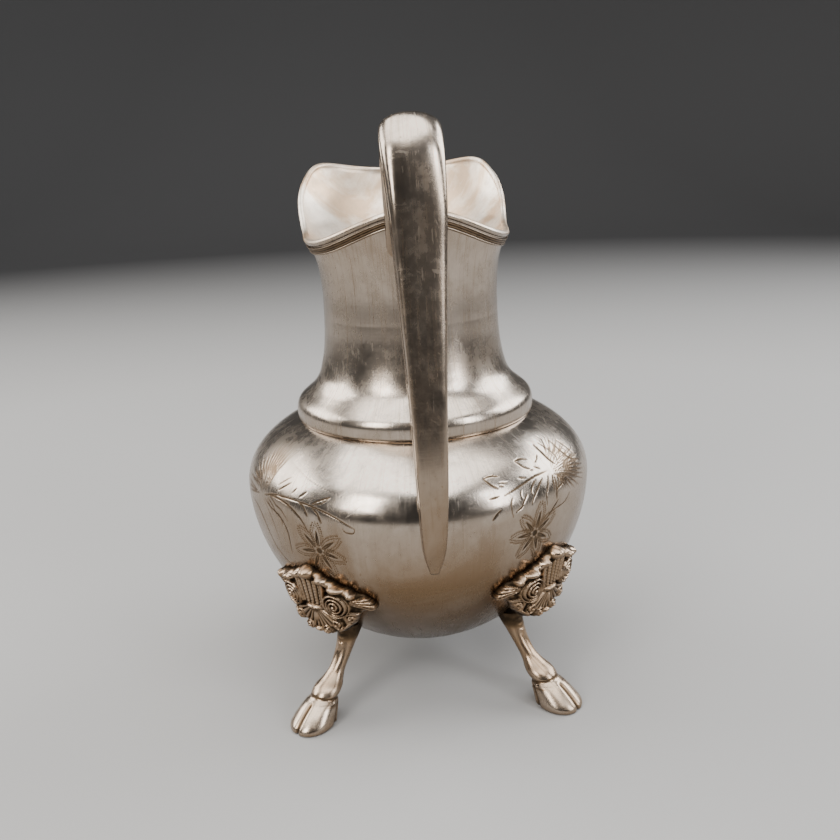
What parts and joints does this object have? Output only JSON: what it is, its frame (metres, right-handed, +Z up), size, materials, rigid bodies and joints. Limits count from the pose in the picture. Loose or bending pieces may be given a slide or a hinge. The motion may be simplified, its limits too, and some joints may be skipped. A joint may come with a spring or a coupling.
{
  "type": "cream jug",
  "caption": "Footed silver-plated cream jug with a round body, flared neck and pouring lip, tall hollow handle and hoof feet.",
  "frame": {"origin": "on the surface the jug stands on, under the middle of the jug's bounding box", "axes": "+Z up the jug's axis, +Y from the handle to the spout, +X to the right when seen from the handle's side"},
  "size_m": [0.085, 0.089, 0.134],
  "materials": {
    "plated_body": "aged silver plate, soft polish with fine scratches and light tarnish",
    "plated_trim": "aged silver plate, satin, tarnish between the reeds",
    "plated_handle": "aged silver plate, polished by hands",
    "plated_castings": "aged silver plate on castings, warm tarnish in the hollows",
    "tarnished_ornament": "aged silver plate, brown tarnish in the relief and bright high points"
  },
  "bodies": {
    "root": {"body_lower_bowl": "plated_body", "body_shoulder": "plated_body", "neck": "plated_body", "rim_moulding": "plated_trim", "handle_outer_shell": "plated_handle", "handle_inner_shell": "plated_handle", "leg_rear_left": "plated_castings", "leg_rear_right": "plated_castings", "leg_front_right": "plated_castings", "leg_front_left": "plated_castings", "knee_ornament_rear_left": "tarnished_ornament", "knee_ornament_rear_right": "tarnished_ornament", "knee_ornament_front_right": "tarnished_ornament", "knee_ornament_front_left": "tarnished_ornament"}
  },
  "joints": []
}
